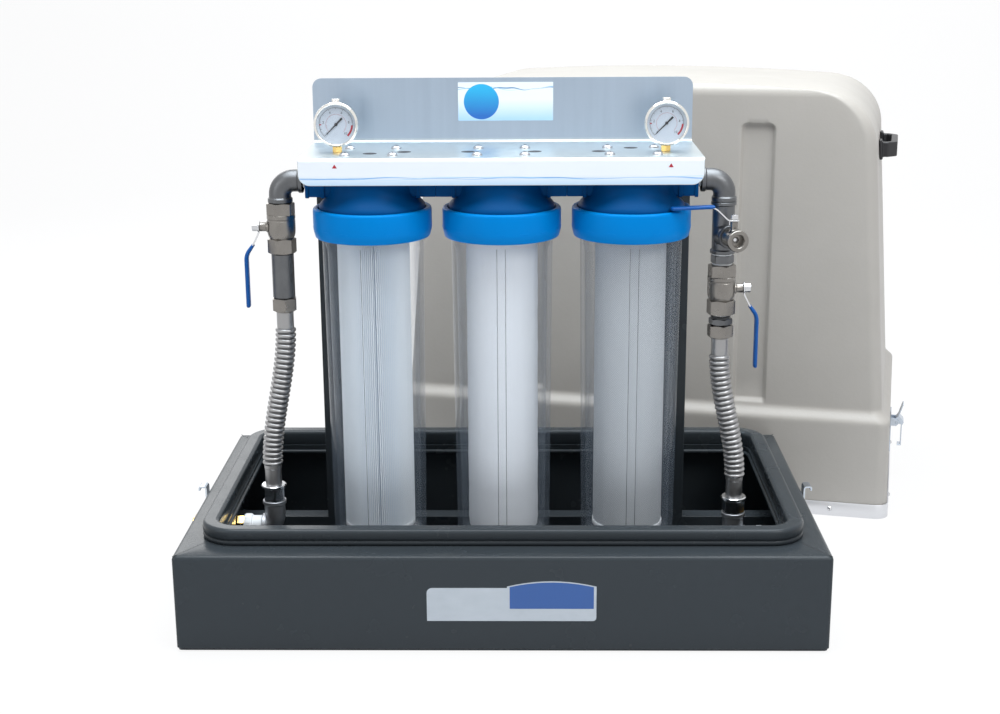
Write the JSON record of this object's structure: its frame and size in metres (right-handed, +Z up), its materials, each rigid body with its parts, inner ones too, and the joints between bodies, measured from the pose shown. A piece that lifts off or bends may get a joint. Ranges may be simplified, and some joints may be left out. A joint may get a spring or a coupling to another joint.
{
  "type": "rainwater filter system",
  "caption": "Sheet-metal tray with clear filter housings hung in a row from a folded bracket, gauges, valved ribbed hoses on both sides, and a lift-off moulded cover.",
  "frame": {"origin": "centre of the tray's underside, on the floor", "axes": "+Z up, +X along the tray to the outlet side, -Y towards the front"},
  "size_m": [1.2931, 1.252, 0.806],
  "materials": {
    "dark_grey_paint": "gloss",
    "brushed_stainless": "brushed",
    "blue_head_plastic": "satin",
    "blue_ring_plastic": "satin",
    "clear_bowl_plastic": "clear gloss",
    "black_rubber": "matte",
    "white_pleated_paper": "matte",
    "white_spun_fibre": "matte",
    "white_net_sleeve": "matte",
    "polished_steel": "polished",
    "clear_glass": "clear gloss",
    "black_needle": "matte",
    "galvanised_iron": "galvanised",
    "nickel_plate": "nickel plate",
    "blue_vinyl": "satin",
    "white_plastic": "satin",
    "yellow_brass": "machined",
    "beige_moulding": "satin",
    "mill_aluminium": "mill",
    "black_plastic": "satin",
    "bright_zinc": "zinc plate"
  },
  "bodies": {
    "tray_and_lines": {"base_box": "dark_grey_paint", "rim_front_half": "dark_grey_paint", "rim_rear_half": "dark_grey_paint", "upright_frame": "dark_grey_paint", "filter_bracket": "brushed_stainless", "inlet_hose": "brushed_stainless", "outlet_hose": "brushed_stainless", "first_head": "blue_head_plastic", "second_head": "blue_head_plastic", "third_head": "blue_head_plastic", "inlet_gauge_case": "polished_steel", "outlet_gauge_case": "polished_steel", "inlet_gauge_glass": "clear_glass", "outlet_gauge_glass": "clear_glass", "inlet_top_elbow": "galvanised_iron", "outlet_top_elbow": "galvanised_iron", "inlet_pipe": "galvanised_iron", "outlet_tee": "galvanised_iron", "inlet_low_elbow": "galvanised_iron", "outlet_low_elbow": "galvanised_iron", "inlet_valve_body": "nickel_plate", "outlet_valve_body": "nickel_plate", "tap_body": "nickel_plate", "inlet_wall_coupling": "white_plastic", "outlet_wall_coupling": "white_plastic", "inlet_wall_union": "yellow_brass", "outlet_wall_union": "yellow_brass"},
    "inlet_valve_handle": {"inlet_valve_ball": "nickel_plate", "inlet_valve_lever": "brushed_stainless", "inlet_lever_grip": "blue_vinyl"},
    "outlet_valve_handle": {"outlet_valve_ball": "nickel_plate", "outlet_valve_lever": "brushed_stainless", "outlet_lever_grip": "blue_vinyl"},
    "tap_handle": {"tap_ball": "nickel_plate", "tap_lever": "brushed_stainless", "tap_grip": "blue_vinyl"},
    "inlet_needle": {"inlet_gauge_needle": "black_needle"},
    "outlet_needle": {"outlet_gauge_needle": "black_needle"},
    "first_bowl_set": {"first_bowl": "clear_bowl_plastic", "first_bowl_seal": "black_rubber", "first_cartridge": "white_pleated_paper"},
    "first_ring": {"first_ring_nut": "blue_ring_plastic"},
    "second_bowl_set": {"second_bowl": "clear_bowl_plastic", "second_bowl_seal": "black_rubber", "second_cartridge": "white_spun_fibre"},
    "second_ring": {"second_ring_nut": "blue_ring_plastic"},
    "third_bowl_set": {"third_bowl": "clear_bowl_plastic", "third_bowl_seal": "black_rubber", "third_cartridge": "white_net_sleeve"},
    "third_ring": {"third_ring_nut": "blue_ring_plastic"},
    "cover": {"cover_shell": "beige_moulding", "cover_edge_strip": "mill_aluminium", "right_cover_handle": "black_plastic", "left_cover_handle": "black_plastic", "right_latch_plate": "bright_zinc", "left_latch_plate": "bright_zinc"},
    "right_lever": {"right_latch_lever": "bright_zinc"},
    "right_hook": {"right_latch_hook": "bright_zinc"},
    "left_lever": {"left_latch_lever": "bright_zinc"},
    "left_hook": {"left_latch_hook": "bright_zinc"}
  },
  "joints": [
    {"name": "inlet_valve_turn", "type": "hinge", "parent": "tray_and_lines", "child": "inlet_valve_handle", "pos_m": [-0.332, -0.077, 0.5962], "axis": [-1, 0, 0], "range_deg": [0, 90]},
    {"name": "outlet_valve_turn", "type": "hinge", "parent": "tray_and_lines", "child": "outlet_valve_handle", "pos_m": [0.332, -0.077, 0.4999], "axis": [-1, 0, 0], "range_deg": [0, 90]},
    {"name": "tap_turn", "type": "hinge", "parent": "tray_and_lines", "child": "tap_handle", "pos_m": [0.34242, -0.12211, 0.5835], "axis": [0, 0, 1], "range_deg": [0, 90]},
    {"name": "inlet_needle_swing", "type": "hinge", "parent": "tray_and_lines", "child": "inlet_needle", "pos_m": [-0.2435, -0.077, 0.75], "axis": [0, 1, 0], "range_deg": [0, 270], "stiffness_Nm_per_rad": 0.0005},
    {"name": "outlet_needle_swing", "type": "hinge", "parent": "tray_and_lines", "child": "outlet_needle", "pos_m": [0.2435, -0.077, 0.75], "axis": [0, 1, 0], "range_deg": [0, 270], "stiffness_Nm_per_rad": 0.0005},
    {"name": "first_bowl_drop", "type": "slide", "parent": "tray_and_lines", "child": "first_bowl_set", "axis": [0, 0, -1], "range_m": [0, 0.015]},
    {"name": "first_ring_turn", "type": "hinge", "parent": "first_bowl_set", "child": "first_ring", "pos_m": [-0.194, -0.077, 0.583], "axis": [0, 0, -1], "range_deg": [0, 1080]},
    {"name": "second_bowl_drop", "type": "slide", "parent": "tray_and_lines", "child": "second_bowl_set", "axis": [0, 0, -1], "range_m": [0, 0.015]},
    {"name": "second_ring_turn", "type": "hinge", "parent": "second_bowl_set", "child": "second_ring", "pos_m": [0, -0.077, 0.583], "axis": [0, 0, -1], "range_deg": [0, 1080]},
    {"name": "third_bowl_drop", "type": "slide", "parent": "tray_and_lines", "child": "third_bowl_set", "axis": [0, 0, -1], "range_m": [0, 0.015]},
    {"name": "third_ring_turn", "type": "hinge", "parent": "third_bowl_set", "child": "third_ring", "pos_m": [0.194, -0.077, 0.583], "axis": [0, 0, -1], "range_deg": [0, 1080]},
    {"name": "cover_lift", "type": "slide", "parent": "tray_and_lines", "child": "cover", "axis": [0, 0, 1], "range_m": [0, 0.85]},
    {"name": "right_latch_turn", "type": "hinge", "parent": "cover", "child": "right_lever", "pos_m": [0.74894, 0.50448, 0.108], "axis": [0.225, 0.9744, 0], "range_deg": [0, 90]},
    {"name": "right_hook_hang", "type": "hinge", "parent": "right_lever", "child": "right_hook", "pos_m": [0.75868, 0.50223, 0.108], "axis": [0.225, 0.9744, 0], "range_deg": [-90, 0]},
    {"name": "left_latch_turn", "type": "hinge", "parent": "cover", "child": "left_lever", "pos_m": [-0.16139, 0.71465, 0.108], "axis": [-0.225, -0.9744, 0], "range_deg": [0, 90]},
    {"name": "left_hook_hang", "type": "hinge", "parent": "left_lever", "child": "left_hook", "pos_m": [-0.17113, 0.7169, 0.108], "axis": [-0.225, -0.9744, 0], "range_deg": [-90, 0]}
  ],
  "couplings": [
    {"joint": "first_bowl_drop", "follows": "first_ring_turn", "m_per_rad": 0.00079577},
    {"joint": "second_bowl_drop", "follows": "second_ring_turn", "m_per_rad": 0.00079577},
    {"joint": "third_bowl_drop", "follows": "third_ring_turn", "m_per_rad": 0.00079577},
    {"joint": "right_hook_hang", "follows": "right_latch_turn", "ratio": -1},
    {"joint": "left_hook_hang", "follows": "left_latch_turn", "ratio": -1}
  ]
}
